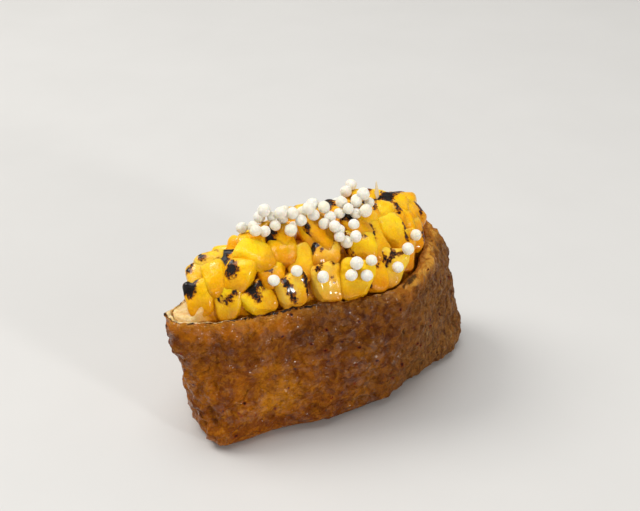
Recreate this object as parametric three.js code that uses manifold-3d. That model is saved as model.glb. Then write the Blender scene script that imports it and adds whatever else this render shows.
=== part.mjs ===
// Open-topped inari sushi: a pouch of fried tofu skin, heaped above its mouth with charred corn kernels.
// Millimetres, +Z up. X runs along the pouch, with its pinched tip towards -X and its broad end towards +X.
// The origin is the centre of the bounding box's bottom, on the surface that the pouch stands on.

import * as THREE from "three";
import Module from "manifold-3d";

const wasm = await Module();
wasm.setup();

// Driving dimensions of the pouch
const MOUTH_HEIGHT = 33.5; // mean height of the mouth's lip
const SKIN_THIN = 1.8; // tofu skin at the pinched tip
const SKIN_THICK = 3.4; // tofu skin at the broad end
const FLOOR = 3; // thickness of the pouch's bottom
const FOOT_ROUND = 3.5; // radius where the bottom turns up into the wall
const BELLY = 1.6; // how far the filled wall swells between foot and mouth
const GAP = 0.35; // clearance between the skin and its filling
const AROUND = 56; // points round each ring
const WALL_RINGS = 8; // rings between the foot and the lip

// Closed outlines seen from above, anticlockwise from the broad end, with the points that each shape needs.
const BOTTOM_OUTLINE = [
  [40.5, 4],
  [35, 13.5],
  [12, 17.5],
  [-18, 16],
  [-32, 9],
  [-35.5, -3.5],
  [-32.5, -17],
  [-18, -17],
  [4, -17],
  [17.5, -12.5],
  [29.5, -7.5],
  [38, -2.5],
];
// The mouth's points also say how far the lip stands above or below MOUTH_HEIGHT.
const MOUTH_OUTLINE = [
  [33, 11, 1],
  [26, 17, 0],
  [5, 17.5, -1],
  [-18, 8.5, -0.5],
  [-36.5, -4, 0.5],
  [-42.5, -7, 1],
  [-40.5, -11, 0],
  [-30, -14, -1],
  [-12, -16.5, -0.5],
  [3, -19, -0.5],
  [9.5, -20, 0],
  [20, -15, 1],
  [26.5, -6.5, 1.5],
  [31, 3, 1.5],
];
const MIDDLE = new THREE.Vector3(-2, 0, 0); // rings are laid out by turning about this point

// Soft folds and swellings of the wall. Each is centred at a turn (degrees anticlockwise from the broad end)
// and a share of the wall's height, spreads so many degrees and such a share of the height, and stands so far
// out.
const FOLDS = [
  { turn: 207, up: 0.02, spread: 5, reach: 0.16, depth: 1.6 }, // pinched corner of the bottom fold
  { turn: 172, up: 0.14, spread: 10, reach: 0.1, depth: -0.4 }, // flattening on the narrow end
  { turn: 184, up: 0.5, spread: 15, reach: 0.42, depth: -3.3 }, // hollow under the pinched tip
  { turn: 216, up: 0.72, spread: 8, reach: 0.2, depth: -1.1 }, // dent beside the front corner
  { turn: 250, up: 0.4, spread: 30, reach: 0.3, depth: 1 }, // full front
  { turn: 5, up: 0.17, spread: 20, reach: 0.14, depth: 1.8 }, // heel that bulges at the broad end
  { turn: 4, up: 0.86, spread: 22, reach: 0.2, depth: 1.5 }, // fullness under the lip there
  { turn: 342, up: 0.5, spread: 6, reach: 0.3, depth: -0.8 }, // upright crease before the broad end
  { turn: 322, up: 0.5, spread: 6, reach: 0.3, depth: 0.7 }, // ridge beside that crease
  { turn: 40, up: 0.5, spread: 6, reach: 0.3, depth: -1.1 }, // upright crease on the far side
  { turn: 95, up: 0.5, spread: 25, reach: 0.35, depth: 1 }, // full back
  { turn: 140, up: 0.5, spread: 8, reach: 0.3, depth: -1.1 }, // crease on the back, near the tip
];

// Driving dimensions of the heap
const THICKNESS = 0.74; // of a kernel between its two broad faces, as a share of its width
const ROOT_SHARE = 0.55; // width at the root, as a share of the crown's
const SQUARENESS = 0.68; // 1 is an ellipsoid, smaller is boxier
const DOME = 9.5; // how far the heap's core rises above the mouth
const DOME_STEPS = [1, 0.9, 0.72, 0.5, 0.25]; // shares of the mouth at the core's rings above the lip
const DETAIL = 0.16; // how closely the heap's joined surface is kept
const HEAP_CENTRE = new THREE.Vector3(-2, -2, 8); // kernels face away from here
const HEAP_FLATNESS = new THREE.Vector3(0.25, 1, 1.1); // and more across the heap than along it

// Guide lines of the heap, from the narrow end to the broad one: through the middles of the lowest kernels
// along the front lip, of the highest ones on the crest, and of the lowest along the back lip.
const FRONT = [
  [-33, -8.5, 35.5],
  [-22, -12.5, 35.5],
  [-8, -14, 36],
  [4, -15, 36],
  [12, -13, 36.5],
  [22, -4, 37.5],
];
const CREST = [
  [-31, -4.5, 38],
  [-20, -5, 42.5],
  [-12, -4.5, 44],
  [4, -5.5, 45.5],
  [14, -1, 43.5],
  [22, 3, 40],
];
const BACK = [
  [-27, 1, 36],
  [-14, 8, 35.5],
  [0, 12, 37],
  [10, 13.5, 37],
  [18, 13.5, 36],
  [25, 9, 36.5],
];
const BULGE = 1.5; // how far the heap swells between the lower guide lines and the crest
const WIDTH = 7.8; // mean width of a kernel
const DEPTH = 9.4; // mean depth of a kernel, from its crown to its root
const UNEVEN = { x: 0.9, y: 0.5, z: 0.6, spin: 32, tip: 14, width: 1.1, depth: 1.2 }; // spread to either side

// Rows of kernels between those lines: how far up to the crest a row lies, how many kernels it has, how far
// they are spun in the heap's surface (0 points a crown along X, 90 up the front) and how far they are tipped
// (0 shows the broad face, 90 the crown), in degrees.
const ROWS = [
  { low: FRONT, up: 0, count: 10, spin: 88, tip: 26 },
  { low: FRONT, up: 0.42, count: 10, spin: 80, tip: 22 },
  { low: FRONT, up: 0.78, count: 9, spin: 110, tip: 18 },
  { low: BACK, up: 1, count: 8, spin: 60, tip: 28 },
  { low: BACK, up: 0.52, count: 8, spin: 60, tip: 32 },
  { low: BACK, up: 0, count: 9, spin: 60, tip: 32 },
];

const TURNS = Array.from({ length: AROUND }, (_, i) => {
  const even = (i / AROUND) * 2 * Math.PI;
  return Math.atan2(0.55 * Math.sin(even), Math.cos(even)); // closer together at the two ends
});

// Where each of the TURNS about MIDDLE meets the smooth closed curve through the points, taken from MIDDLE.
function outline(points) {
  const corners = points.map(([x, y, rise = 0]) => new THREE.Vector3(x - MIDDLE.x, y - MIDDLE.y, rise));
  const line = new THREE.CatmullRomCurve3(corners, true, "centripetal").getPoints(60 * points.length);
  return TURNS.map((turn) => {
    const side = (p) => Math.cos(turn) * p.y - Math.sin(turn) * p.x;
    const ahead = (p) => Math.cos(turn) * p.x + Math.sin(turn) * p.y > 0;
    const i = line.findIndex((p, k) => k > 0 && side(line[k - 1]) <= 0 && side(p) > 0 && ahead(p));
    const before = side(line[i - 1]);
    return line[i - 1].clone().lerp(line[i], before / (before - side(line[i])));
  });
}

const bottom = outline(BOTTOM_OUTLINE);
const mouth = outline(MOUTH_OUTLINE);
const skin = TURNS.map((turn) => THREE.MathUtils.lerp(SKIN_THIN, SKIN_THICK, (1 + Math.cos(turn)) / 2));

function foldDepth(turn, up) {
  const bump = (x) => Math.exp(-x * x);
  return FOLDS.reduce((sum, fold) => {
    const away = THREE.MathUtils.euclideanModulo(THREE.MathUtils.radToDeg(turn) - fold.turn + 180, 360) - 180;
    return sum + fold.depth * bump(away / fold.spread) * bump((up - fold.up) / fold.reach);
  }, 0);
}

// One ring of the wall at a share of its height, moved inwards from the outside and raised, both in mm.
function wallRing(up, inwards = () => 0, raise = 0) {
  const ring = TURNS.map((turn, i) => {
    const on = bottom[i].clone().lerp(mouth[i], up);
    const radius = Math.hypot(on.x, on.y) + BELLY * Math.sin(Math.PI * up) + foldDepth(turn, up);
    const height = up * (MOUTH_HEIGHT + mouth[i].z) + raise;
    return new THREE.Vector3(radius * Math.cos(turn), radius * Math.sin(turn), height);
  });
  return ring.map((point, i) => {
    const before = ring[(i + AROUND - 1) % AROUND];
    const after = ring[(i + 1) % AROUND];
    const along = new THREE.Vector2(after.x - before.x, after.y - before.y).normalize();
    const radius = Math.hypot(point.x, point.y);
    const square = (along.y * point.x - along.x * point.y) / radius; // 1 where the wall faces straight out
    const share = 1 - inwards(i) / square / radius;
    return new THREE.Vector3(point.x * share, point.y * share, point.z);
  });
}

// A closed solid through rings laid out about MIDDLE, lowest outer ring first, capped at both ends.
function loft(rings) {
  const centre = (ring) => ring.reduce((sum, p) => sum.add(p), new THREE.Vector3()).divideScalar(AROUND);
  const ends = [centre(rings[0]), centre(rings.at(-1))];
  const points = [ends[0], ...rings.flat(), ends[1]].map((point) => point.clone().add(MIDDLE));
  const at = (ring, i) => 1 + ring * AROUND + (i % AROUND);
  const faces = [];
  for (let i = 0; i < AROUND; i++) {
    faces.push(0, at(0, i + 1), at(0, i));
    for (let ring = 0; ring + 1 < rings.length; ring++) {
      faces.push(at(ring, i), at(ring, i + 1), at(ring + 1, i + 1));
      faces.push(at(ring, i), at(ring + 1, i + 1), at(ring + 1, i));
    }
    faces.push(points.length - 1, at(rings.length - 1, i), at(rings.length - 1, i + 1));
  }
  return new THREE.BufferGeometry().setFromPoints(points).setIndex(faces);
}

const footUp = FOOT_ROUND / MOUTH_HEIGHT;
const floorUp = FLOOR / MOUTH_HEIGHT;
const shares = (from, count) => Array.from({ length: count }, (_, i) => from + ((1 - from) * i) / count);

// The skin, grown on every side by a clearance: along the foot, up the outside, over the lip and down inside.
function pouch(clearance = 0) {
  const foot = [0, 30, 60].map(THREE.MathUtils.degToRad).map((angle) => {
    const ring = wallRing(footUp, () => FOOT_ROUND * (1 - Math.sin(angle)) - clearance);
    return ring.map((point) => point.setZ(FOOT_ROUND * (1 - Math.cos(angle)) - clearance));
  });
  const outside = shares(footUp, WALL_RINGS).map((up) => wallRing(up, () => -clearance));
  const lip = [0.25, 0.75].map((across) => wallRing(1, (i) => across * skin[i], clearance));
  const edge = (side) => wallRing(1, (i) => side * skin[i] + (2 * side - 1) * clearance, -0.22 * SKIN_THICK);
  const inside = shares(floorUp, 4).map((up) => wallRing(up, (i) => skin[i] + clearance));
  inside[0].forEach((point) => point.setZ(FLOOR + clearance));
  return loft([...foot, ...outside, edge(0), ...lip, edge(1), ...inside.reverse()]);
}

// What fills the pouch under the kernels, domed above the mouth.
function core() {
  const inside = shares(floorUp, 4).map((up) => wallRing(up, (i) => skin[i] + GAP));
  inside[0].forEach((point) => point.setZ(FLOOR + GAP));
  const dome = DOME_STEPS.map((share) => {
    const ring = wallRing(1, (i) => skin[i] + GAP, DOME * (1 - share ** 2));
    return ring.map((point) => point.multiply(new THREE.Vector3(share, share, 1)));
  });
  return loft([...inside, ...dome]);
}

// A kernel's wedge about its centre, 1 wide and 1 deep: crown towards +Y, broad faces towards +Z and -Z.
function kernel() {
  const shape = new THREE.SphereGeometry(1, 8, 4);
  const place = shape.getAttribute("position");
  const boxy = (value) => Math.sign(value) * Math.abs(value) ** SQUARENESS;
  for (let i = 0; i < place.count; i++) {
    const crown = (place.getY(i) + 1) / 2;
    const wide = THREE.MathUtils.lerp(ROOT_SHARE, 1, Math.sqrt(crown));
    place.setXYZ(
      i,
      (boxy(place.getX(i)) * wide) / 2,
      boxy(place.getY(i)) / 2,
      (boxy(place.getZ(i)) * wide * THICKNESS) / 2,
    );
  }
  return shape;
}

// Repeatable unevenness from -1 to 1 for any number.
function uneven(number) {
  const wave = Math.sin(number * 12.9898 + 78.233) * 43758.5453;
  return 2 * (wave - Math.floor(wave)) - 1;
}

function onLine(line, share) {
  const at = share * (line.length - 1);
  const i = Math.min(Math.floor(at), line.length - 2);
  return new THREE.Vector3(...line[i]).lerp(new THREE.Vector3(...line[i + 1]), at - i);
}

// Every kernel's centre, spin, tip, width and depth. Every other row is set half a kernel along.
function kernels() {
  return ROWS.flatMap(({ low, up, count, spin, tip }, row) =>
    Array.from({ length: count }, (_, i) => {
      const number = 20 * row + i + 1;
      const shift = row % 2 && i < count - 1 ? 0.5 : 0;
      const share = (i + shift) / (count - 1);
      const centre = onLine(low, share).lerp(onLine(CREST, share), up);
      centre.x += UNEVEN.x * uneven(number);
      centre.y += UNEVEN.y * uneven(number + 0.2);
      centre.z += BULGE * Math.sin(Math.PI * up) + UNEVEN.z * uneven(number + 0.4);
      return {
        centre,
        spin: spin + UNEVEN.spin * uneven(number + 0.6),
        tip: tip + UNEVEN.tip * uneven(number + 0.8),
        width: WIDTH + UNEVEN.width * uneven(number + 0.1),
        depth: DEPTH + UNEVEN.depth * uneven(number + 0.3),
      };
    }),
  );
}

// Places a kernel on the heap's surface, which faces away from HEAP_CENTRE.
function kernelPlace({ centre, spin, tip, width, depth }) {
  const out = centre.clone().sub(HEAP_CENTRE).multiply(HEAP_FLATNESS).normalize();
  const along = new THREE.Vector3(1, 0, 0).projectOnPlane(out).normalize();
  const surface = new THREE.Matrix4().makeBasis(along, new THREE.Vector3().crossVectors(out, along), out);
  const turn = new THREE.Matrix4().makeRotationZ(THREE.MathUtils.degToRad(spin - 90));
  const lean = new THREE.Matrix4().makeRotationX(THREE.MathUtils.degToRad(tip));
  const size = new THREE.Matrix4().makeScale(width, depth, width);
  return surface.multiply(turn).multiply(lean).multiply(size).setPosition(centre);
}

function solid(geometry) {
  const place = geometry.getAttribute("position");
  const mesh = new wasm.Mesh({
    numProp: 3,
    vertProperties: Float32Array.from(place.array),
    triVerts: Uint32Array.from(geometry.index.array),
  });
  mesh.merge();
  return new wasm.Manifold(mesh);
}

function heap() {
  const one = solid(kernel());
  const placed = kernels().map((each) => one.transform(kernelPlace(each).elements));
  const joined = wasm.Manifold.union([solid(core()), ...placed]).subtract(solid(pouch(GAP)));
  const pieces = joined.simplify(DETAIL).decompose();
  const mesh = pieces.reduce((a, b) => (a.volume() > b.volume() ? a : b)).getMesh();
  const geometry = new THREE.BufferGeometry();
  geometry.setAttribute("position", new THREE.BufferAttribute(mesh.vertProperties, mesh.numProp));
  return geometry.setIndex(new THREE.BufferAttribute(mesh.triVerts, 1));
}

function part(name, geometry, colour, roughness) {
  const material = new THREE.MeshStandardMaterial({ color: colour, roughness, metalness: 0 });
  const mesh = new THREE.Mesh(geometry, material);
  mesh.name = name;
  return mesh;
}

const root = new THREE.Group();
root.add(part("tofu_pouch", pouch(), 0x9a5f24, 0.5));
root.add(part("corn_heap", heap(), 0xf0ab12, 0.35));

// The origin goes to the centre of the bounding box's bottom.
const box = new THREE.Box3().setFromObject(root);
const middle = box.getCenter(new THREE.Vector3());
root.position.set(-middle.x, -middle.y, -box.min.z);
root.updateMatrixWorld(true);

export default root;
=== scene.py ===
"""Looks for an open-topped inari sushi: a fried tofu pouch heaped with charred corn and puffed rice.

Metres, in the part's own frame. Sizes written in millimetres are scaled by MM where they are used.
"""

import math
import random

import bmesh
import bpy
import numpy as np
from mathutils import Matrix, Vector, noise
from mathutils.bvhtree import BVHTree


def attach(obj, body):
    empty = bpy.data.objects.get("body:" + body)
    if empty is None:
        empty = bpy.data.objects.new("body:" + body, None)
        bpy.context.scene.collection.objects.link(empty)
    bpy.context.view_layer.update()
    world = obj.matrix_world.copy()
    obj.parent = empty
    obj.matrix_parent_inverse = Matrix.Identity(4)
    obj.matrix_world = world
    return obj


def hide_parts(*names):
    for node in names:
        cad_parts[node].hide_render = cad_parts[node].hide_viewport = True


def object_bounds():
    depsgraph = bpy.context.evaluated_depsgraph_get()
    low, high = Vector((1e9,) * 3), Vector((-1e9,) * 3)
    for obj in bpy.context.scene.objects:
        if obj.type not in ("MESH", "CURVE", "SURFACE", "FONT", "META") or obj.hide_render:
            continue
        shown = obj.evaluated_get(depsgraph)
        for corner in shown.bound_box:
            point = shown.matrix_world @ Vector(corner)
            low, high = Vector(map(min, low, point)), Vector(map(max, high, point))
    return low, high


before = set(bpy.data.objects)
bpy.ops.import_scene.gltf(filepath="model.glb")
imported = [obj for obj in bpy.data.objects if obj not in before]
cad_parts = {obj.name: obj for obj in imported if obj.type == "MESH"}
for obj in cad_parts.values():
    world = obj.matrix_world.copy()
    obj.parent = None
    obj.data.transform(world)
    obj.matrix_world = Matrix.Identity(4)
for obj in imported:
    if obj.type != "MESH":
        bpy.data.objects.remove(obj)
cad_low, cad_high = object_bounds()

MM = 0.001
ORIGIN = Vector((0.266, 0.313, 0.0))  # where part.mjs's own zero lies in this frame, in mm

# --------------------------------------------------------------------------------------------------------
# Shared helpers


def uneven(number):
    """Repeatable unevenness from -1 to 1 for any number, as in part.mjs."""
    wave = math.sin(number * 12.9898 + 78.233) * 43758.5453
    return 2 * (wave - math.floor(wave)) - 1


def fractal(point, size, octaves=2):
    """Smooth noise from about -1 to 1 whose largest features are size across."""
    return noise.fractal(point / size, 1.0, 2.0, octaves)


def smooth(edge0, edge1, value):
    """0 at edge0, 1 at edge1 and an even curve between them."""
    t = min(max((value - edge0) / (edge1 - edge0), 0.0), 1.0)
    return t * t * (3 - 2 * t)


def on_line(line, share):
    """Place a share of the way along a line of points."""
    at = share * (len(line) - 1)
    i = min(math.floor(at), len(line) - 2)
    return Vector(line[i]).lerp(Vector(line[i + 1]), at - i)


def shade_smooth(mesh):
    mesh.polygons.foreach_set("use_smooth", [True] * len(mesh.polygons))


def new_object(name, verts, faces):
    mesh = bpy.data.meshes.new(name)
    mesh.from_pydata([tuple(v) for v in verts], [], faces)
    mesh.update()
    shade_smooth(mesh)
    obj = bpy.data.objects.new(name, mesh)
    bpy.context.scene.collection.objects.link(obj)
    return obj


def add_attribute(obj, name, values):
    layer = obj.data.attributes.new(name, "FLOAT", "POINT")
    layer.data.foreach_set("value", [float(v) for v in values])


def even_copy(node, name, voxel, factor, iterations):
    """A copy of a CAD node, meshed afresh with faces about voxel mm across and then softened."""
    obj = bpy.data.objects.new(name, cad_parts[node].data.copy())
    obj.data.materials.clear()
    bpy.context.scene.collection.objects.link(obj)
    remesh = obj.modifiers.new("remesh", "REMESH")
    remesh.mode = "VOXEL"
    remesh.voxel_size = voxel * MM
    soften = obj.modifiers.new("soften", "SMOOTH")
    soften.factor = factor
    soften.iterations = iterations
    made = bpy.data.meshes.new_from_object(obj.evaluated_get(bpy.context.evaluated_depsgraph_get()))
    obj.modifiers.clear()
    obj.data = made
    return obj


def read_points(mesh):
    """Places, in metres, and normals of a mesh's points."""
    places = np.zeros(len(mesh.vertices) * 3)
    normals = np.zeros(len(mesh.vertices) * 3)
    mesh.vertices.foreach_get("co", places)
    mesh.vertices.foreach_get("normal", normals)
    return places.reshape(-1, 3), normals.reshape(-1, 3)


def write_points(mesh, places):
    mesh.vertices.foreach_set("co", places.ravel())
    mesh.update()
    shade_smooth(mesh)


def joined_tree(objects):
    """One tree to cast rays on, over the faces of several objects."""
    verts, faces = [], []
    for obj in objects:
        base = len(verts)
        verts += [v.co.copy() for v in obj.data.vertices]
        faces += [tuple(base + i for i in p.vertices) for p in obj.data.polygons]
    return BVHTree.FromPolygons(verts, faces)


# --------------------------------------------------------------------------------------------------------
# Lip of the pouch

CREST_DEPTH = 0.7  # points this close under the highest one count as the lip's crest, mm
LIP_ROOM = 0.3  # how far inside the lip's crest the kernels stay, mm
OVERHANG = 1.1  # how fast they may bulge out above it
OVERHANG_FROM = 0.2  # from how far above it, mm


class Lip:
    """Crest of the pouch's lip: its height and how far out it lies, by the turn about part.mjs's zero."""

    STEPS = 120

    def __init__(self, points):
        turns = self.step(points[:, 0], points[:, 1])
        radii = np.hypot(points[:, 0], points[:, 1])
        self.height = np.array([points[turns == b, 2].max() for b in range(self.STEPS)])
        near = points[:, 2] > self.height[turns] - CREST_DEPTH
        self.radius = np.array([radii[(turns == b) & near].mean() for b in range(self.STEPS)])
        for values in (self.height, self.radius):
            values[:] = (np.roll(values, 1) + values + np.roll(values, -1)) / 3

    def step(self, x, y):
        return ((np.arctan2(y, x) / (2 * math.pi) + 0.5) * self.STEPS).astype(int) % self.STEPS

    def at(self, x, y):
        """Height and radius of the crest in the direction of a place."""
        along = (math.atan2(y, x) / (2 * math.pi) + 0.5) * self.STEPS - 0.5
        low = math.floor(along)
        share = along - low
        a, b = low % self.STEPS, (low + 1) % self.STEPS
        height = self.height[a] * (1 - share) + self.height[b] * share
        return height, self.radius[a] * (1 - share) + self.radius[b] * share

    def keep_inside(self, point):
        """Draws a point in so that it stays behind the lip, over which it may only bulge from above."""
        height, radius = self.at(point.x, point.y)
        room = radius - LIP_ROOM + OVERHANG * max(point.z - height - OVERHANG_FROM, 0)
        reach = math.hypot(point.x, point.y)
        if reach <= room:
            return point
        return Vector((point.x * room / reach, point.y * room / reach, point.z))


# --------------------------------------------------------------------------------------------------------
# Corn kernels, laid out by the same rule as in part.mjs, along rows between three guide lines, in mm

THICKNESS = 0.74  # of a kernel, as a share of its width
ROOT_SHARE = 0.55  # how wide its root is, as a share of its crown
SQUARENESS = 0.52  # 1 is round, 0 is square
HEAP_CENTRE = Vector((-2, -2, 8))
HEAP_FLATNESS = Vector((0.25, 1, 1.1))
FRONT = [(-33, -8.5, 35.5), (-22, -12.5, 35.5), (-8, -14, 36), (4, -15, 36), (12, -13, 36.5), (22, -4, 37.5)]
CREST = [(-31, -4.5, 38), (-20, -5, 42.5), (-12, -4.5, 44), (4, -5.5, 45.5), (14, -1, 43.5), (22, 3, 40)]
BACK = [(-27, 1, 36), (-14, 8, 35.5), (0, 12, 37), (10, 13.5, 37), (18, 13.5, 36), (25, 9, 36.5)]
BULGE = 1.5
WIDTH = 7.8
DEPTH = 9.4
UNEVEN = {"x": 0.9, "y": 0.5, "z": 0.6, "spin": 32, "tip": 14, "width": 1.1, "depth": 1.2}
# Lower guide line, share of the way up to the crest, spin and tip in degrees; then how each kernel in the
# row is charred.
ROWS = [
    (FRONT, 0.0, 88, 26, "cap ring blot bars flecks plain rim cracks plain edge"),
    (FRONT, 0.42, 80, 22, "plain spot blot plain cracks rim spot edge plain bars"),
    (FRONT, 0.78, 110, 18, "flecks cap plain plain rim cap blot ring edge"),
    (BACK, 1.0, 60, 28, "flecks plain spot plain cap blot cap plain"),
    (BACK, 0.52, 60, 32, "plain edge spot plain cap ring flecks blot"),
    (BACK, 0.0, 60, 32, "spot plain bars flecks plain cracks plain rim cap"),
]
# Charred marks, in mm right of and above a kernel's middle, as the heap's surface is faced: (x, y, radius)
# is a spot, (x, y, radius, half width) a ring, (x, y, x, y, half width) a bar.
CHAR = {
    "plain": [],
    "spot": [(-1.4, 0.2, 1.3), (-0.6, 1.2, 0.6)],
    "ring": [(0.2, 0.8, 2.3, 0.24), (2.6, 1.8, 2.4, -0.4, 0.5)],
    "cap": [(-2.4, 1.6, 2.2, 3.6, 1.1), (-1.4, 0.9, 1.4)],
    "blot": [(-1.2, 1.2, 1.6), (-0.6, -0.8, 0.9), (1.5, 1.8, 0.8)],
    "bars": [(-2.6, 3, -0.6, -3.2, 0.6), (2.6, 3.8, 3.4, -2.6, 0.5)],
    "rim": [(-3.4, 2.6, -3.8, -1.6, 0.3), (-3.8, -1.6, -2.4, -3.2, 0.25), (0.4, 0.4, 0.35)],
    "edge": [(3, 3.2, 3.4, -0.8, 0.35), (3.4, -0.8, 2.6, -3, 0.3)],
    "cracks": [
        (-2, -0.6, 0.2, 0.8, 0.14),
        (0.2, 0.8, 2, 0.6, 0.14),
        (0.2, 0.8, 0.4, 2.4, 0.14),
        (-2.8, 0.8, 1),
    ],
    "flecks": [(-2.2, 1.4, 0.5), (-1.2, 2.4, 0.4), (0.9, -0.6, 0.35), (1.8, 2, 0.3)],
}
NO_MARK = -9  # depth inside a mark, in mm, that stands for no mark near
CHAR_BLUR = 2.4  # width over which the char attribute runs from 0 to 1 across a mark's edge, mm
MARKED_DEPTH = -0.5  # how far round its side a kernel is marked, mm out from its middle
CREVICE_SHADE_FADE = (0.2, -2.4)  # heights over its middle between which a kernel's side takes on the root's amber as painted shade down in the crevices between kernels, mm
PALE_LOOKS = ("flecks", "cracks", "bars")  # kernels with these marks are paler than the rest
PALE = 0.5  # how pale they are, from 0 to 1
PALE_SPREAD = 0.15  # the most that any other kernel is
TINT, TINT_SPREAD = 0.4, 0.42  # from 0, lemon yellow, to 1, deep orange
HEROES = 29  # the first kernels, which face the front and get the finer mesh
FINE_CUTS, COARSE_CUTS = 20, 12  # faces along a side of the cube that each kernel is blown up from
KERNEL_SEED = 100
THICK_SPREAD = (0.92, 1.1)  # thinnest and thickest, as a share of THICKNESS
BEND = 0.9  # the most a kernel curves flatwise, mm
SKEW = 0.2  # the most it leans to a side, as a share of half its width
DIMPLE = 0.6  # depth of the hollow in the crown, mm
DIMPLE_SPREAD = (0.45, 0.5)  # its half width across the kernel's width and thickness, of a unit kernel
GROOVE = 0.3  # depth of the groove from root to middle, mm
GROOVE_SPREAD = 0.35  # its half width, of a unit kernel
LUMPS, LUMP_SIZE = 0.6, 5.0  # height and size of the broad unevenness, mm
RIPPLES, RIPPLE_SIZE = 0.14, 1.7  # height and size of the fine unevenness, mm


def layout_kernels():
    """Centre, spin, tip, width, depth, tint, paleness and marks of every kernel."""
    kernels = []
    for row, (low, up, spin, tip, looks) in enumerate(ROWS):
        looks = looks.split()
        for i, look in enumerate(looks):
            number = 20 * row + i + 1
            shift = 0.5 if row % 2 and i < len(looks) - 1 else 0
            share = (i + shift) / (len(looks) - 1)
            centre = on_line(low, share).lerp(on_line(CREST, share), up)
            centre.x += UNEVEN["x"] * uneven(number)
            centre.y += UNEVEN["y"] * uneven(number + 0.2)
            centre.z += BULGE * math.sin(math.pi * up) + UNEVEN["z"] * uneven(number + 0.4)
            kernels.append(
                {
                    "centre": centre,
                    "spin": spin + UNEVEN["spin"] * uneven(number + 0.6),
                    "tip": tip + UNEVEN["tip"] * uneven(number + 0.8),
                    "width": WIDTH + UNEVEN["width"] * uneven(number + 0.1),
                    "depth": DEPTH + UNEVEN["depth"] * uneven(number + 0.3),
                    "tint": min(max(TINT + TINT_SPREAD * uneven(number + 0.5), 0), 1),
                    "pale": PALE if look in PALE_LOOKS else max(PALE_SPREAD * uneven(number + 0.7), 0),
                    "marks": CHAR[look],
                }
            )
    return kernels


def kernel_frame(kernel):
    """Axes of the heap's surface at a kernel (right, up, out), and the kernel's own axes, as columns."""
    out = kernel["centre"] - HEAP_CENTRE
    out = Vector([a * b for a, b in zip(out, HEAP_FLATNESS)]).normalized()
    along = Vector((1, 0, 0))
    along = (along - out * along.dot(out)).normalized()
    surface = Matrix((along, out.cross(along), out)).transposed()
    turn = Matrix.Rotation(math.radians(kernel["spin"] - 90), 3, "Z")
    return surface, surface @ turn @ Matrix.Rotation(math.radians(kernel["tip"]), 3, "X")


def cube_sphere(cuts):
    """Directions and faces of a cube cut into cuts by cuts squares a side and blown up to a unit ball."""
    bm = bmesh.new()
    bmesh.ops.create_cube(bm, size=2)
    bmesh.ops.subdivide_edges(bm, edges=bm.edges[:], cuts=cuts - 1, use_grid_fill=True)
    bm.verts.ensure_lookup_table()
    points = [Vector([math.tan(c * math.pi / 4) for c in v.co]).normalized() for v in bm.verts]
    faces = [tuple(v.index for v in f.verts) for f in bm.faces]
    bm.free()
    return points, faces


def mark_depth(mark, x, y):
    """How deep a point lies inside a charred mark, in mm: 0 on its edge, negative outside."""
    if len(mark) == 3:
        return mark[2] - math.hypot(x - mark[0], y - mark[1])
    if len(mark) == 4:
        return mark[3] - abs(math.hypot(x - mark[0], y - mark[1]) - mark[2])
    x0, y0, x1, y1, width = mark
    dx, dy = x1 - x0, y1 - y0
    t = min(max(((x - x0) * dx + (y - y0) * dy) / (dx * dx + dy * dy), 0), 1)
    return width - math.hypot(x - x0 - t * dx, y - y0 - t * dy)


def kernel_point(p, width, depth, thick, bend, skew, seed):
    """Where a point of the unit ball lies on a kernel, in its own axes, and how near the crown from 0 to 1.

    The axes are x across, y from root to crown and z through the kernel.
    """
    q = Vector([math.copysign(abs(c) ** SQUARENESS, c) for c in p])
    crown = (q.y + 1) / 2
    wide = ROOT_SHARE + (1 - ROOT_SHARE) * math.sqrt(max(crown, 0))
    x = q.x * wide * width / 2 + skew * q.y * width / 2
    y = q.y * depth / 2
    z = q.z * wide * thick / 2 + bend * (q.y**2 - 0.5)
    hollow = math.exp(-((p.x / DIMPLE_SPREAD[0]) ** 2) - (p.z / DIMPLE_SPREAD[1]) ** 2)
    dimple = DIMPLE * hollow * smooth(0.5, 1.0, p.y)
    groove = GROOVE * math.exp(-((p.x / GROOVE_SPREAD) ** 2)) * smooth(0.4, -0.6, p.y) * abs(p.z)
    local = Vector((x, y - dimple, z - math.copysign(groove, z)))
    lumps = LUMPS * fractal(local + seed, LUMP_SIZE)
    return local + p * (lumps + RIPPLES * fractal(local + seed, RIPPLE_SIZE)), crown


def make_kernels(lip):
    fine, coarse = cube_sphere(FINE_CUTS), cube_sphere(COARSE_CUTS)
    verts, faces = [], []
    looks = {"tint": [], "pale": [], "char": [], "root": []}
    for number, kernel in enumerate(layout_kernels()):
        rng = random.Random(KERNEL_SEED + number)
        surface, own = kernel_frame(kernel)
        to_surface = surface.transposed()
        centre, width, depth, marks = (kernel[key] for key in ("centre", "width", "depth", "marks"))
        thick = THICKNESS * width * rng.uniform(*THICK_SPREAD)
        bend = rng.uniform(-BEND, BEND)
        skew = rng.uniform(-SKEW, SKEW)
        seed = Vector((number * 7.3, number * 3.1, 0))  # makes each kernel's noise its own
        points, quads = fine if number < HEROES else coarse
        base = len(verts)
        for p in points:
            local, crown = kernel_point(p, width, depth, thick, bend, skew, seed)
            world = own @ local
            flat = to_surface @ world
            char = NO_MARK
            if flat.z > MARKED_DEPTH:
                char = max([mark_depth(m, flat.x, flat.y) for m in marks], default=NO_MARK)
            verts.append((lip.keep_inside(world + centre) + ORIGIN) * MM)
            looks["tint"].append(kernel["tint"])
            looks["pale"].append(kernel["pale"])
            looks["char"].append(min(max(0.5 + char / CHAR_BLUR, 0), 1))
            # the root end, and painted shade where the kernel's side dips below its middle into the crevices
            looks["root"].append(max(1 - crown, smooth(*CREVICE_SHADE_FADE, flat.z)))
        faces += [tuple(base + i for i in f) for f in quads]
    obj = new_object("corn_kernels", verts, faces)
    for name, values in looks.items():
        add_attribute(obj, name, values)
    return obj


# --------------------------------------------------------------------------------------------------------
# Glazed filling under the kernels

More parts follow.
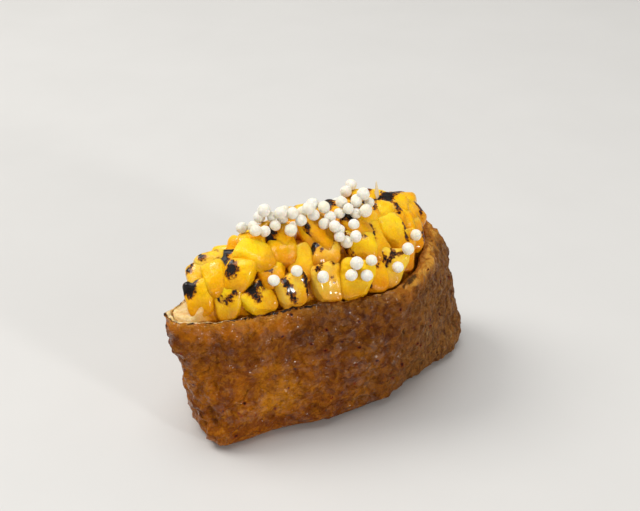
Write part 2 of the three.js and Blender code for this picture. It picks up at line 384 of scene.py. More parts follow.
CORE_VOXEL = 0.9  # mm
CORE_SOFTNESS = (0.7, 12)  # factor and rounds of smoothing
CORE_INSET = 0.5  # how far it is drawn in from the CAD heap's surface, mm
CORE_INSET_ABOVE = 1.2  # how much more above the lip, mm
LIP_ZONE = (34, 40)  # heights between which that comes in, mm
TIP_FROM = -32  # the pouch's tip begins here along x, in mm from part.mjs's zero
TIP_BLEND = 3  # mm
TIP_PRESS = 0.8  # how far the filling is pressed out against the wall there, mm
TIP_TOP, TIP_DROP = 37, 3.4  # its top where the tip begins, and how far it drops from there, mm


def make_core():
    """The CAD heap, drawn in and softened; at the tip it reaches the wall and stays just under the lip."""
    obj = even_copy("corn_heap", "corn_filling", CORE_VOXEL, *CORE_SOFTNESS)
    places, normals = read_points(obj.data)
    low, high = (cad_low[2] + height * MM for height in LIP_ZONE)
    above = np.clip((places[:, 2] - low) / (high - low), 0, 1)
    tip = np.clip((TIP_FROM + ORIGIN.x - places[:, 0] / MM) / TIP_BLEND, 0, 1)
    inset = (CORE_INSET + CORE_INSET_ABOVE * above) * (1 - tip) - TIP_PRESS * tip
    places -= normals * inset[:, None] * MM
    top = np.where(tip > 0, TIP_TOP - TIP_DROP * tip, np.inf)
    places[:, 2] = np.minimum(places[:, 2], top * MM)
    write_points(obj.data, places)
    add_attribute(obj, "tip", tip)
    return obj


# --------------------------------------------------------------------------------------------------------
# Tofu pouch; places are in mm from part.mjs's zero, and x runs from the tip to the broad end

SKIN_VOXEL, SKIN_VOXEL_QUICK = 0.55, 1.0  # mm
SKIN_SOFTNESS = (0.5, 3)  # factor and rounds of smoothing
BROAD_FROM, BROAD_OVER = 8, 14  # where the broad end begins, and how long its onset is
THIN_DEPTH = 3  # the lip thins over this depth
THIN_SHARE = 0.75  # how far its inner side is drawn out, as a share of the way to its edge
LIP_EDGE = 0.3  # how far outside the crest that edge lies
LIP_WIDE = 3  # the most that counts as the way to the edge
THIN_LESS = 0.6  # how much less it thins at the broad end
BULGES, BULGE_SIZE = 0.9, 10.0  # height and size
CREASES, CREASE_SIZE = 1.1, 5.2
CRUMPLES, CRUMPLE_SIZE = 0.6, 2.2
STREAKS, STREAK_SIZE = 0.45, 2.6  # up and down the broad end
CORNER = (-33, -14)  # the ragged corner at the foot of the tip
CORNER_SPREAD = (4, 6)
CORNER_FADE = (26, 6)  # heights over which it comes in
RAGS, RAG_SIZE = 1.6, 3.4
FOOT = (0.2, 2.5)  # the relief comes in between these heights, so that the bottom stays flat
INNER_FACE = -0.2  # faces turned inwards by more than this belong to the inner face
INSIDE_SHARE = 0.35  # how much of the relief it has
FRAY_DEPTH = 5  # the lip is frayed over this depth
FRAY, FRAY_SIZE = 0.5, 3.6
FINE_FRAY, FINE_FRAY_SIZE = 0.15, 1.1
BELOW_SCALE = 10  # mm that the attribute below_lip counts as 1


def skin_looks(p, below, outer):
    """How singed, bright, browned and pale inside the skin is, below mm under the lip's crest.

    The limits are places along x, or depths under the crest. Outer is 1 outside and -1 inside.
    """
    # singed black along the front from the tip to before the middle, and in short bits elsewhere
    bits = smooth(0.25, 0.4, fractal(Vector((p.x, 0, 7)), 4.0))
    glow = max(smooth(-8, -18, p.x), smooth(6, 14, p.x))
    shade = 0.5 * smooth(14, 9, below) * smooth(3, 6, below)
    return {
        "singe": max(smooth(-6, -10, p.x), 0.8 * bits) * smooth(0.0, 0.4, outer),
        "glow": glow,
        "brown": min(smooth(-24, 15, p.x) + (1 - glow) * smooth(12, 4, below) + shade, 1),
        "pale_inside": smooth(-24, -31, p.x),
    }


def skin_push(p, broad):
    """How far the skin stands proud at a place, mm. What is added to p only makes the noises differ."""
    push = BULGES * fractal(p, BULGE_SIZE)
    push += CREASES * (0.3 - abs(fractal(p + Vector((9, 0, 0)), CREASE_SIZE)))
    push += CRUMPLES * fractal(p, CRUMPLE_SIZE, 3)
    off_x = (p.x - CORNER[0]) / CORNER_SPREAD[0]
    off_y = (p.y - CORNER[1]) / CORNER_SPREAD[1]
    corner = math.exp(-(off_x**2) - off_y**2) * smooth(*CORNER_FADE, p.z)
    push += corner * RAGS * fractal(p + Vector((0, 0, 17)), RAG_SIZE, 3)
    stretched = Vector((p.x, p.y, p.z * 0.25 + 40))
    return push + broad * STREAKS * (0.4 - abs(fractal(stretched, STREAK_SIZE)))


def make_pouch():
    """The CAD pouch, evenly meshed, then crumpled, creased and frayed along its lip."""
    voxel = SKIN_VOXEL
    obj = even_copy("tofu_pouch", "tofu_skin", voxel, *SKIN_SOFTNESS)
    places, normals = read_points(obj.data)
    places = places / MM - np.array(ORIGIN)
    lip = Lip(places)
    crests = np.array([lip.at(x, y) for x, y in places[:, :2]])
    below = crests[:, 0] - places[:, 2]
    broad = np.clip((places[:, 0] - BROAD_FROM) / BROAD_OVER, 0, 1)
    reach = np.hypot(places[:, 0], places[:, 1])
    outwards = (normals[:, 0] * places[:, 0] + normals[:, 1] * places[:, 1]) / reach
    outer = np.clip(outwards * 3, -1, 1)

    # the lip thins to an edge, towards the outside, except where it is broad
    thin = np.clip(1 - below / THIN_DEPTH, 0, 1) * (1 - THIN_LESS * broad)
    inwards = np.clip(crests[:, 1] + LIP_EDGE - reach, 0, LIP_WIDE)
    places[:, :2] *= (1 + thin * inwards * THIN_SHARE / reach)[:, None]

    moved = places.copy()
    looks = {"singe": [], "glow": [], "brown": [], "pale_inside": []}
    for i, place in enumerate(places):
        p = Vector(place)
        for name, value in skin_looks(p, below[i], outer[i]).items():
            looks[name].append(value)
        inside = 1.0 if outer[i] > INNER_FACE else INSIDE_SHARE
        moved[i] += normals[i] * skin_push(p, broad[i]) * smooth(*FOOT, p.z) * inside
        if below[i] < FRAY_DEPTH:
            frayed = FRAY * fractal(p + Vector((0, 30, 0)), FRAY_SIZE, 3)
            frayed += FINE_FRAY * fractal(p, FINE_FRAY_SIZE)
            moved[i, 2] += frayed * smooth(FRAY_DEPTH, 0, below[i])
    write_points(obj.data, (moved + np.array(ORIGIN)) * MM)
    add_attribute(obj, "below_lip", np.clip(below / BELOW_SCALE, -1, 1))
    add_attribute(obj, "outer", outer)
    add_attribute(obj, "broad", broad)
    for name, values in looks.items():
        add_attribute(obj, name, values)
    return obj, Lip(moved)


# --------------------------------------------------------------------------------------------------------
# Puffed rice

PUFF = 1.38  # radius of a puffed rice ball, mm
PUFF_SPREAD = (0.9, 1.08)  # smallest and largest, as a share of that
PUFF_SQUASH = (0.92, 1.06)  # least and most that a ball is scaled along each axis
PUFF_LUMPS = 0.07  # height of its lumps, as a share of its radius
PUFF_SEED = 11
PUFF_GAP = 0.5  # least distance between two balls seen from above, as a share of a ball's width
SINKS = 0.94  # how much of the sum of two radii lies between balls that touch
PRESSED = 0.9  # how much of a ball's radius lies above what it rests on
FEELERS = (0, 0.55)  # how far out from a ball's middle the ground is felt, as shares of its radius
TRIES = 60  # draws for each ball wanted
DROP_FROM = 0.1  # height that balls are let down from, m
LOWEST_REST = 33  # balls that would come to rest lower have fallen past the lip and are left out, mm
# How high a ball may lie above the heap, in radii: one ball doesn't stay on top of another, but lies in the
# dip between two.
ON_ONE, ON_TWO = 0.8, 1.7
# Where balls lie seen from above, in mm from part.mjs's zero: a line to scatter them along, how far to
# either side of it, and how many.
DRIFTS = [
    ([(-16, -2.5), (-8, -4.5), (0, -6.5), (7, -6.5)], 2.3, 42),  # thick along the front of the crest
    ([(-3, -9), (0, -10.5), (4, -10)], 1.4, 6),  # where the band hangs down the front
    ([(-10, 5), (2, 7), (12, 9)], 3.0, 6),  # a few over the far side
    ([(-18, -11.5), (-8, -16), (4, -18), (13, -16), (19, -10.5)], 2.0, 10),  # single ones by the lip
]


def ground_height(ground, spot, radius):
    """Height of a ball's middle when it rests on the food under spot, or None where there is none."""
    best = None
    for angle in range(0, 360, 45):
        heading = Vector((math.cos(math.radians(angle)), math.sin(math.radians(angle))))
        for share in FEELERS:
            at = spot + heading * radius * share
            start = Vector(((at.x + ORIGIN.x) * MM, (at.y + ORIGIN.y) * MM, DROP_FROM))
            hit = ground.ray_cast(start, Vector((0, 0, -1)))[0]
            if hit:
                height = hit.z / MM + radius * math.sqrt(1 - share**2) * PRESSED
                best = height if best is None else max(best, height)
    return best


def rest_height(ground, spot, radius, settled):
    """Height of a ball's middle when it is let down at spot until it meets the heap or another ball."""
    lowest = ground_height(ground, spot, radius)
    if lowest is None or lowest < LOWEST_REST:
        return None
    best = lowest
    touched = 0
    for other, other_radius in settled:
        gap = (other.xy - spot).length
        reach = (radius + other_radius) * SINKS
        if gap < reach:
            touched += 1
            best = max(best, other.z + math.sqrt(reach**2 - gap**2))
    most = ON_TWO if touched > 1 else ON_ONE
    return best if best < lowest + most * radius else None


def settle_puffs(ground, rng):
    """Drops balls along the drifts one by one; gives the middle and radius of each that comes to rest."""
    settled = []
    for line, wide, count in DRIFTS:
        wanted = len(settled) + count
        for _ in range(TRIES * count):
            if len(settled) == wanted:
                break
            spot = on_line(line, rng.random()) + Vector((rng.gauss(0, 0.5), rng.gauss(0, 0.5))) * wide
            radius = PUFF * rng.uniform(*PUFF_SPREAD)
            if any((middle.xy - spot).length < 2 * PUFF * PUFF_GAP for middle, _ in settled):
                continue
            height = rest_height(ground, spot, radius, settled)
            if height is not None:
                settled.append((Vector((spot.x, spot.y, height)), radius))
    return settled


def make_puffs(ground):
    rng = random.Random(PUFF_SEED)
    bm = bmesh.new()
    bmesh.ops.create_icosphere(bm, subdivisions=3, radius=1)
    shape = [v.co.copy() for v in bm.verts]
    tris = [tuple(v.index for v in f.verts) for f in bm.faces]
    bm.free()
    verts, faces, tone = [], [], []
    for number, (centre, radius) in enumerate(settle_puffs(ground, rng)):
        base = len(verts)
        seed = Vector((number * 5.7, 0, 9))
        squash = Vector([rng.uniform(*PUFF_SQUASH) for _ in range(3)])
        shade = rng.random()
        for p in shape:
            r = radius * (1 + PUFF_LUMPS * fractal(p + seed, 0.9, 3))
            local = Vector([a * b for a, b in zip(p, squash)]) * r
            verts.append((centre + local + ORIGIN) * MM)
            tone.append(shade)
        faces += [tuple(base + i for i in f) for f in tris]
    obj = new_object("puffed_rice", verts, faces)
    add_attribute(obj, "tone", tone)
    return obj


# --------------------------------------------------------------------------------------------------------
# Bract

BRACT_FOOT = Vector((16.2, 4.4, 42.6))  # mm from part.mjs's zero
BRACT_RISE = Vector((0.3, 0.4, 6.6))  # from its foot to its tip, mm
BRACT_BOW = 0.35  # mm
BRACT_HALF = 1.0  # half its width at the foot, mm
BRACT_TIP = 0.04  # and at the tip, mm
BRACT_FLATNESS = 0.35  # thickness as a share of width
BRACT_RINGS, BRACT_AROUND = 14, 12


def make_bract():
    """A thin, dry, pointed leaf that stands on the ridge."""
    tip = BRACT_FOOT + BRACT_RISE
    verts, faces = [], []
    for k in range(BRACT_RINGS + 1):
        t = k / BRACT_RINGS
        centre = BRACT_FOOT.lerp(tip, t) + Vector((BRACT_BOW * math.sin(3 * t), 0, 0))
        wide = BRACT_HALF * (1 - t) ** 0.8 + BRACT_TIP
        for j in range(BRACT_AROUND):
            a = 2 * math.pi * j / BRACT_AROUND
            edge = Vector((math.cos(a) * wide, math.sin(a) * wide * BRACT_FLATNESS, 0))
            verts.append((centre + edge + ORIGIN) * MM)
    for k in range(BRACT_RINGS):
        for j in range(BRACT_AROUND):
            low, high = k * BRACT_AROUND, (k + 1) * BRACT_AROUND
            n = (j + 1) % BRACT_AROUND
            faces.append((low + j, low + n, high + n, high + j))
    faces.append(tuple(reversed(range(BRACT_AROUND))))
    faces.append(tuple(BRACT_RINGS * BRACT_AROUND + j for j in range(BRACT_AROUND)))
    return new_object("corn_bract", verts, faces)


# --------------------------------------------------------------------------------------------------------
# Shader nodes


class Nodes:
    """Small helper that adds shader nodes and joins them."""

    def __init__(self, name):
        self.material = bpy.data.materials.new(name)
        self.material.use_nodes = True
        self.tree = self.material.node_tree
        self.shader = self.tree.nodes["Principled BSDF"]
        self.place = self.add("ShaderNodeTexCoord").outputs["Object"]

    def add(self, kind, inputs=(), **settings):
        node = self.tree.nodes.new(kind)
        for key, value in settings.items():
            setattr(node, key, value)
        for key, value in dict(inputs).items():
            self.put(node.inputs[key], value)
        return node

    def put(self, socket, value):
        if isinstance(value, bpy.types.NodeSocket):
            self.tree.links.new(value, socket)
        else:
            socket.default_value = value

    def attribute(self, name):
        return self.add("ShaderNodeAttribute", attribute_name=name).outputs["Fac"]

    def noise(self, size, detail=3.0, rough=0.55, distort=0.0, place=None):
        """Noise with features about size mm across."""
        inputs = {"Vector": place or self.place, "Scale": 1 / (size * MM), "Detail": detail}
        inputs.update({"Roughness": rough, "Distortion": distort})
        return self.add("ShaderNodeTexNoise", inputs).outputs["Fac"]

    def cells(self, size, feature="F1"):
        """Distance from the middle, or from the edge, of cells about size mm across."""
        inputs = {"Vector": self.place, "Scale": 1 / (size * MM)}
        return self.add("ShaderNodeTexVoronoi", inputs, feature=feature).outputs["Distance"]

    def stretched(self, x, y, z):
        """Places scaled along each axis, so that features grow where the scale is below 1."""
        made = self.add("ShaderNodeMapping", {"Vector": self.place, "Scale": (x, y, z)})
        return made.outputs["Vector"]

    def ramp(self, value, low, high, out_low=0.0, out_high=1.0):
        """Takes low to out_low and high to out_high, with an even curve between them."""
        inputs = {"Value": value, "From Min": low, "From Max": high, "To Min": out_low, "To Max": out_high}
        return self.add("ShaderNodeMapRange", inputs, interpolation_type="SMOOTHSTEP").outputs["Result"]

    def math(self, kind, a, b=0.0):
        made = self.add("ShaderNodeMath", operation=kind)
        self.put(made.inputs[0], a)
        self.put(made.inputs[1], b)
        return made.outputs[0]

    def times(self, a, b):
        return self.math("MULTIPLY", a, b)

    def plus(self, a, b):
        return self.math("ADD", a, b)

    def mix(self, share, a, b):
        """Colour a share of the way from a to b."""
        made = self.add("ShaderNodeMix", data_type="RGBA", blend_type="MIX")
        self.put(made.inputs[0], share)
        self.put(made.inputs[6], (*a, 1) if isinstance(a, tuple) else a)
        self.put(made.inputs[7], (*b, 1) if isinstance(b, tuple) else b)
        return made.outputs[2]

    def bump(self, height, depth, under=None):
        """Relief whose height of 1 stands depth mm proud."""
        inputs = {"Height": height, "Distance": depth * MM, "Strength": 1.0}
        if under is not None:
            inputs["Normal"] = under
        return self.add("ShaderNodeBump", inputs).outputs["Normal"]

    def set(self, **values):
        for key, value in values.items():
            socket = self.shader.inputs[key.replace("_", " ")]
            is_colour = isinstance(value, tuple) and len(socket.default_value) == 4
            self.put(socket, (*value, 1) if is_colour else value)

    def subsurface(self, weight, scale, radius):
        """Light scattered within the food, over about scale mm; radius is its reach by colour."""
        self.set(Subsurface_Weight=weight, Subsurface_Scale=scale * MM, Subsurface_Radius=Vector(radius))


# --------------------------------------------------------------------------------------------------------
# Materials. Colours are linear red, green and blue; sizes and depths are in mm. A ramp's first two numbers
# are the values that it runs between, and noise lies between about 0.25 and 0.75.

# dark grain, and also painted shade in the hollows of the wrinkles
DARK_SKIN_AND_SHADE = (0.14, 0.028, 0.001)
RED_SKIN = (0.19, 0.043, 0.001)
CARAMEL = (0.34, 0.096, 0.001)
GOLDEN = (0.5, 0.178, 0.002)
# painted highlight on the ridges of the wrinkles
WRINKLE_HIGHLIGHT = (0.54, 0.19, 0.006)
GOLDEN_GRAIN = (0.58, 0.24, 0.014)
# painted shade along the creases
CREASE_SHADE = (0.14, 0.028, 0.002)
BROWNEST, BROWNER = (0.07, 0.014, 0.001), (0.18, 0.055, 0.003)
ORANGE_BAND = (0.46, 0.135, 0.003)
DRY_DARK, DRY_LIGHT = (0.09, 0.028, 0.005), (0.27, 0.11, 0.022)
DRY_STREAK, DRY_SPECK, DRY_PORE = (0.4, 0.25, 0.1), (0.28, 0.155, 0.045), (0.05, 0.014, 0.003)
TAN_DARK, TAN_LIGHT = (0.45, 0.16, 0.012), (0.74, 0.36, 0.05)
CREAM_DARK, CREAM_LIGHT = (0.7, 0.45, 0.16), (0.9, 0.72, 0.4)
INNER_DARK, INNER_LIGHT = (0.3, 0.1, 0.01), (0.5, 0.22, 0.04)
PIT_EDGE, PIT = (0.22, 0.02, 0.002), (0.03, 0.006, 0.002)
SINGED = (0.012, 0.007, 0.005)

LEMON, YOLK, ORANGE = (0.93, 0.6, 0.012), (0.92, 0.47, 0.004), (0.84, 0.31, 0.002)
# amber is the root's own colour and also painted shade down in the crevices between kernels
PALE_CORN, CROWN_CORN, AMBER_AND_CREVICE_SHADE = (0.82, 0.56, 0.1), (0.95, 0.68, 0.08), (0.6, 0.18, 0.001)
TOASTED, SCORCHED, CHARRED = (0.6, 0.19, 0.002), (0.2, 0.036, 0.003), (0.012, 0.009, 0.008)
GLAZE_DARK, GLAZE_LIGHT = (0.5, 0.15, 0.002), (0.82, 0.36, 0.004)
FILLING_DARK, FILLING_LIGHT = (0.68, 0.43, 0.15), (0.87, 0.67, 0.35)
PUFF_WHITE, PUFF_BLOTCH, PUFF_CREAM = (0.95, 0.91, 0.82), (0.92, 0.8, 0.56), (0.93, 0.84, 0.64)
STRAW, PALE_STRAW = (0.78, 0.62, 0.34), (0.9, 0.84, 0.64)
FLOOR_DARK, FLOOR_LIGHT = (0.6, 0.59, 0.57), (0.64, 0.63, 0.61)


def skin_ground_colour(n, wrinkle, grain, crease_shade):
    """Caramel brown, with red-brown and golden zones and lighter and darker grain; painted highlight on the
    wrinkles' ridges and painted shade in their hollows and creases.
    """
    colour = n.mix(n.ramp(n.noise(8, 4, 0.6, 0.8), 0.4, 0.6), RED_SKIN, CARAMEL)
    colour = n.mix(n.ramp(n.noise(13, 3, 0.5, 0.3), 0.52, 0.68, 0, 0.75), colour, GOLDEN)
    # painted highlight on the wrinkles' ridges, then painted shade in their hollows
    colour = n.mix(n.ramp(wrinkle, 0.5, 0.72, 0, 0.45), colour, WRINKLE_HIGHLIGHT)
    colour = n.mix(n.ramp(wrinkle, 0.46, 0.3, 0, 0.4), colour, DARK_SKIN_AND_SHADE)
    colour = n.mix(n.ramp(grain, 0.54, 0.7, 0, 0.3), colour, GOLDEN_GRAIN)
    colour = n.mix(n.ramp(grain, 0.47, 0.33, 0, 0.42), colour, DARK_SKIN_AND_SHADE)
    # painted shade along the creases
    return n.mix(n.times(crease_shade, 0.4), colour, CREASE_SHADE)


def skin_zone_colour(n, colour, below, wrinkle, fibre, broad, glow):
    """Browner under the middle of the lip and towards the broad end, which is drier and streaked."""
    browner = n.mix(n.ramp(wrinkle, 0.4, 0.62), BROWNEST, BROWNER)
    colour = n.mix(n.times(n.attribute("brown"), 0.84), colour, browner)
    # a brighter orange band hangs under the lip
    band = n.ramp(n.plus(below, n.ramp(n.noise(2.6, 3), 0.25, 0.75, -2, 2)), 5.0, 2.0, 0, 0.6)
    colour = n.mix(n.times(band, glow), colour, ORANGE_BAND)
    dull = n.mix(n.ramp(fibre, 0.34, 0.66), DRY_DARK, DRY_LIGHT)
    dull = n.mix(n.ramp(n.noise(0.9, 2, place=n.stretched(1, 1, 0.2)), 0.6, 0.72, 0, 0.6), dull, DRY_STREAK)
    dull = n.mix(n.ramp(n.noise(0.75, 3, 0.6), 0.52, 0.66, 0, 0.55), dull, DRY_SPECK)
    dull = n.mix(n.ramp(n.noise(1.0, 3, 0.6), 0.44, 0.34, 0, 0.7), dull, DRY_PORE)
    return n.mix(n.times(broad, 0.8), colour, dull)


def skin_lip_colour(n, colour, below, wrinkle, broad, glow):
    """Tan along the lip; on the inner face pale at the tip and browner elsewhere."""
    lip = n.ramp(n.plus(below, n.ramp(n.noise(3, 3), 0.2, 0.8, -0.9, 0.9)), 2.6, 0.6)
    tan = n.mix(n.ramp(wrinkle, 0.4, 0.6), TAN_DARK, TAN_LIGHT)
    tanned = n.times(lip, n.ramp(broad, 0.1, 0.8, 0.35, 0.75))
    colour = n.mix(n.times(tanned, n.ramp(glow, 0, 1, 0.4, 1)), colour, tan)
    cream = n.mix(n.ramp(n.noise(2.5, 4, 0.6), 0.35, 0.65), CREAM_DARK, CREAM_LIGHT)
    brown = n.mix(n.ramp(wrinkle, 0.4, 0.6), INNER_DARK, INNER_LIGHT)
    inner = n.mix(n.attribute("pale_inside"), brown, cream)
    return n.mix(n.ramp(n.attribute("outer"), 0.3, -0.1), colour, inner)


def skin_mark_colour(n, colour, below, cell, pit):
    """Small pits with a red edge, and a thin singed edge along the lip."""
    colour = n.mix(n.ramp(cell, 0.19, 0.11, 0, 0.75), colour, PIT_EDGE)
    colour = n.mix(n.times(pit, 0.9), colour, PIT)
    edge = n.plus(below, n.ramp(n.noise(1.5, 3), 0.3, 0.7, -0.2, 0.25))
    return n.mix(n.times(n.ramp(edge, 0.42, 0.2), n.attribute("singe")), colour, SINGED)


def tofu_material():
    n = Nodes("tofu_skin")
    below = n.times(n.attribute("below_lip"), BELOW_SCALE)
    broad = n.attribute("broad")
    glow = n.attribute("glow")
    crumple = n.noise(5.0, 3, 0.5, 0.8, place=n.stretched(0.8, 0.8, 1.3))
    # lines where the crumples crease, which get painted shade
    crease_shade = n.ramp(n.math("ABSOLUTE", n.math("SUBTRACT", crumple, 0.5)), 0.0, 0.035, 1.0, 0.0)
    wrinkle = n.noise(1.9, 4, 0.55, 0.6)
    grain = n.noise(0.8, 3, 0.6)
    fibre = n.noise(1.2, 4, 0.6, place=n.stretched(1, 1, 0.28))
    cell = n.plus(n.cells(3.4), n.ramp(n.noise(1.2), 0.3, 0.7, -0.05, 0.08))
    pit = n.ramp(cell, 0.12, 0.075)
    colour = skin_ground_colour(n, wrinkle, grain, crease_shade)
    colour = skin_zone_colour(n, colour, below, wrinkle, fibre, broad, glow)
    colour = skin_lip_colour(n, colour, below, wrinkle, broad, glow)
    colour = skin_mark_colour(n, colour, below, cell, pit)
    relief = n.bump(crumple, 2.2)
    relief = n.bump(wrinkle, 0.8, under=relief)
    relief = n.bump(n.times(fibre, n.times(broad, n.ramp(below, 1.5, 5.0))), 0.8, under=relief)
    relief = n.bump(pit, -0.5, under=relief)
    n.set(Base_Color=colour, Normal=n.bump(grain, 0.12, under=relief))
    rough = n.ramp(n.noise(2.5, 3), 0.35, 0.7, 0.32, 0.5)
    n.set(Roughness=n.plus(rough, n.times(broad, 0.12)), Specular_IOR_Level=0.08)
    n.subsurface(0.12, 0.8, (1.0, 0.4, 0.12))
    # syrup glistens in patches, broken up by a fine relief of its own
    patch = n.times(n.ramp(n.noise(6, 3), 0.4, 0.56, 0.1, 1.0), n.ramp(broad, 0.0, 0.6, 1.0, 0.15))
    wet = n.times(n.ramp(n.noise(1.7, 2, 0.6), 0.46, 0.52, 0.02, 1.0), patch)
    n.set(Coat_Weight=wet, Coat_Roughness=0.11, Coat_IOR=1.36)
    n.set(Coat_Normal=n.bump(n.noise(1.5, 1, 0.5), 0.8, under=n.bump(crumple, 1.2)))
    return n.material


def corn_material():
    n = Nodes("charred_corn")
    root = n.attribute("root")
    mottled = n.plus(n.attribute("tint"), n.ramp(n.noise(3.5, 3), 0.3, 0.7, -0.22, 0.22))
    colour = n.mix(n.ramp(mottled, 0.0, 0.6), LEMON, YOLK)
    colour = n.mix(n.ramp(mottled, 0.6, 1.1), colour, ORANGE)
    paleness = n.times(n.attribute("pale"), n.ramp(n.noise(3.0, 3, 0.5), 0.3, 0.62))
    colour = n.mix(paleness, colour, PALE_CORN)
    # paler at the crown; amber at the root and, as painted shade, down in the crevices between kernels
    colour = n.mix(n.ramp(root, 0.3, 0.0, 0, 0.35), colour, CROWN_CORN)
    colour = n.mix(n.ramp(root, 0.4, 1.0, 0, 0.75), colour, AMBER_AND_CREVICE_SHADE)
    # browned round the char, then black
    ragged = n.plus(n.attribute("char"), n.ramp(n.noise(1.1, 3, 0.55), 0.3, 0.7, -0.16, 0.16))
    colour = n.mix(n.ramp(ragged, 0.1, 0.4, 0, 0.4), colour, TOASTED)
    colour = n.mix(n.ramp(ragged, 0.32, 0.48, 0, 0.9), colour, SCORCHED)
    flaked = n.plus(ragged, n.ramp(n.noise(0.55, 3, 0.6), 0.35, 0.65, -0.12, 0.1))
    black = n.ramp(flaked, 0.46, 0.6)
    colour = n.mix(black, colour, CHARRED)
    relief = n.bump(n.noise(2.4, 3, 0.5), 0.7)
    relief = n.bump(n.noise(0.9, 3, 0.5, 0.5, place=n.stretched(1.2, 1.2, 0.6)), 0.24, under=relief)
    relief = n.bump(n.times(black, n.noise(0.5, 3)), 0.5, under=relief)
    n.set(Base_Color=colour, Normal=relief, Roughness=n.ramp(black, 0, 1, 0.34, 0.5))
    n.set(Specular_IOR_Level=0.06)
    n.subsurface(0.25, 1.2, (1.0, 0.6, 0.03))
    glaze = n.ramp(n.noise(2.2, 2), 0.42, 0.58, 0.06, 0.85)
    n.set(Coat_Weight=glaze, Coat_Roughness=0.13, Coat_IOR=1.42)
    return n.material


def filling_material():
    n = Nodes("corn_glaze")
    colour = n.mix(n.ramp(n.noise(3, 4, 0.6), 0.35, 0.7), GLAZE_DARK, GLAZE_LIGHT)
    cream = n.mix(n.ramp(n.noise(2.0, 3, 0.6), 0.35, 0.65), FILLING_DARK, FILLING_LIGHT)
    colour = n.mix(n.attribute("tip"), colour, cream)
    relief = n.bump(n.noise(1.6, 4, 0.6), 0.6)
    n.set(Base_Color=colour, Normal=relief, Roughness=0.32, Specular_IOR_Level=0.12)
    n.subsurface(0.2, 1.2, (1.0, 0.55, 0.06))
    n.set(Coat_Weight=0.25, Coat_Roughness=0.08)
    return n.material


def puff_material():
    n = Nodes("puffed_rice")
    blotch = n.ramp(n.noise(1.3, 3), 0.35, 0.7)
    colour = n.mix(n.times(blotch, 0.35), PUFF_WHITE, PUFF_BLOTCH)
    colour = n.mix(n.ramp(n.attribute("tone"), 0.5, 1.0, 0, 0.5), colour, PUFF_CREAM)
    crazed = n.cells(0.55, "DISTANCE_TO_EDGE")
    relief = n.bump(n.ramp(crazed, 0.0, 0.12), 0.08)
    relief = n.bump(n.noise(0.6, 3), 0.15, under=relief)
    n.set(Base_Color=colour, Normal=relief, Roughness=0.55)
    n.subsurface(0.4, 0.9, (1.0, 0.8, 0.5))
    return n.material


def bract_material():
    n = Nodes("corn_bract")
    colour = n.mix(n.noise(1.0, 2, place=n.stretched(3, 3, 0.4)), STRAW, PALE_STRAW)
    relief = n.bump(n.noise(0.6, 3, place=n.stretched(3, 3, 0.3)), 0.1)
    n.set(Base_Color=colour, Normal=relief, Roughness=0.5)
    n.subsurface(0.3, 0.5, (1.0, 0.85, 0.6))
    return n.material


def floor_material():
    n = Nodes("pale_floor")
    n.set(Base_Color=n.mix(n.noise(40, 3), FLOOR_DARK, FLOOR_LIGHT), Roughness=0.6)
    return n.material


# --------------------------------------------------------------------------------------------------------
# Stage, light and camera, in metres and degrees

VIEW_TURN, VIEW_RISE = -24, 30  # where the camera stands about the part, and how high
VIEW_DISTANCE = 0.330
VIEW_TARGET = Vector((24.5, 55.5, 0))  # in mm from part.mjs's zero: the camera looks past the part
LENS, SENSOR, CLIP = 61.9, 36, 0.01
FLOOR_HALF, FLOOR_NEAR, FLOOR_FAR = 1.5, -1.2, 1.6
BACKDROP_TOP, BACKDROP_BEND, BACKDROP_STEPS = 1.2, 0.5, 12
WORLD_COLOUR, WORLD_STRENGTH = (1.0, 0.99, 0.97, 1), 0.34
LIGHT_AIM = (0, 0, 0.02)
# Name, place, width, power in watts and colour of each light.
LIGHTS = [
    ("key", (-0.5, 0.4, 0.8), 0.55, 5.5, (1.0, 0.985, 0.96)),
    ("top", (-0.1, 0.1, 1.3), 1.2, 10.0, (1, 1, 1)),
    ("glint", (0.29, -0.7, 0.2), 0.1, 2.3, (1, 1, 1)),  # small, so that the syrup glints
]


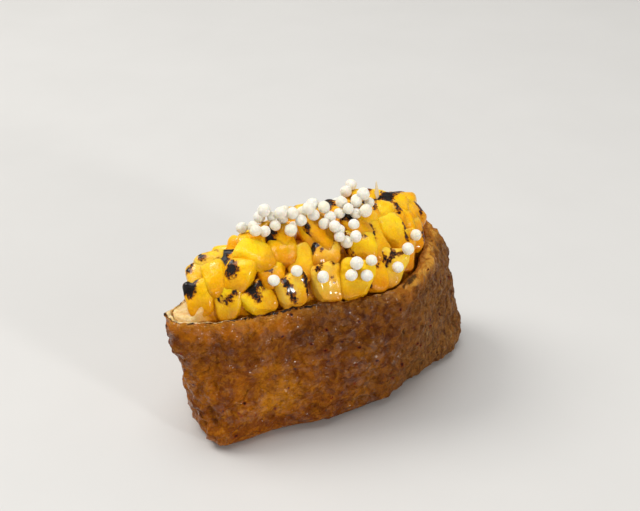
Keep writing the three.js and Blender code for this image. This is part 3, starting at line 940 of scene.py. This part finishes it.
def make_stage():
    """A floor that sweeps up into a backdrop far behind."""
    flat_end = FLOOR_FAR - BACKDROP_BEND
    profile = [(FLOOR_NEAR, 0.0), (flat_end, 0.0)]
    for a in np.linspace(0.1, math.pi / 2, BACKDROP_STEPS):
        profile.append((flat_end + BACKDROP_BEND * math.sin(a), BACKDROP_BEND - BACKDROP_BEND * math.cos(a)))
    profile.append((FLOOR_FAR, BACKDROP_TOP))
    heading = Matrix.Rotation(math.radians(VIEW_TURN), 3, "Z")
    verts = [heading @ Vector((x, y, z)) for y, z in profile for x in (-FLOOR_HALF, FLOOR_HALF)]
    faces = [(2 * i, 2 * i + 1, 2 * i + 3, 2 * i + 2) for i in range(len(profile) - 1)]
    floor = new_object("floor", verts, faces)
    floor.data.materials.append(floor_material())


def add_area(name, place, width, power, colour):
    light = bpy.data.lights.new(name, "AREA")
    light.shape = "DISK"
    light.size = width
    light.energy = power
    light.color = colour
    obj = bpy.data.objects.new(name, light)
    obj.location = place
    obj.rotation_euler = (Vector(LIGHT_AIM) - Vector(place)).to_track_quat("-Z", "Y").to_euler()
    bpy.context.scene.collection.objects.link(obj)


def make_light():
    scene = bpy.context.scene
    world = bpy.data.worlds.new("studio")
    world.use_nodes = True
    background = world.node_tree.nodes["Background"].inputs
    background["Color"].default_value = WORLD_COLOUR
    background["Strength"].default_value = WORLD_STRENGTH
    scene.world = world
    scene.view_settings.view_transform = "Standard"
    scene.view_settings.look = "None"
    for light in LIGHTS:
        add_area(*light)


def make_camera():
    turn, rise = math.radians(VIEW_TURN), math.radians(VIEW_RISE)
    back = Vector((math.sin(turn) * math.cos(rise), -math.cos(turn) * math.cos(rise), math.sin(rise)))
    camera = bpy.data.cameras.new("camera")
    camera.lens = LENS
    camera.sensor_width = SENSOR
    camera.clip_start = CLIP
    obj = bpy.data.objects.new("camera", camera)
    obj.location = (VIEW_TARGET + ORIGIN) * MM + back * VIEW_DISTANCE
    obj.rotation_euler = back.to_track_quat("Z", "Y").to_euler()
    bpy.context.scene.collection.objects.link(obj)
    bpy.context.scene.camera = obj


# --------------------------------------------------------------------------------------------------------
# Assembly

make_light()
make_camera()
make_stage()

pouch, lip = make_pouch()
pouch.data.materials.append(tofu_material())
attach(pouch, "root")
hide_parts("tofu_pouch")

filling = make_core()
filling.data.materials.append(filling_material())
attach(filling, "root")
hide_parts("corn_heap")

kernels = make_kernels(lip)
kernels.data.materials.append(corn_material())
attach(kernels, "root")
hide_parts("corn_heap")

bpy.context.view_layer.update()
puffs = make_puffs(joined_tree([kernels, filling, pouch]))
puffs.data.materials.append(puff_material())
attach(puffs, "root")

bract = make_bract()
bract.data.materials.append(bract_material())
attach(bract, "root")
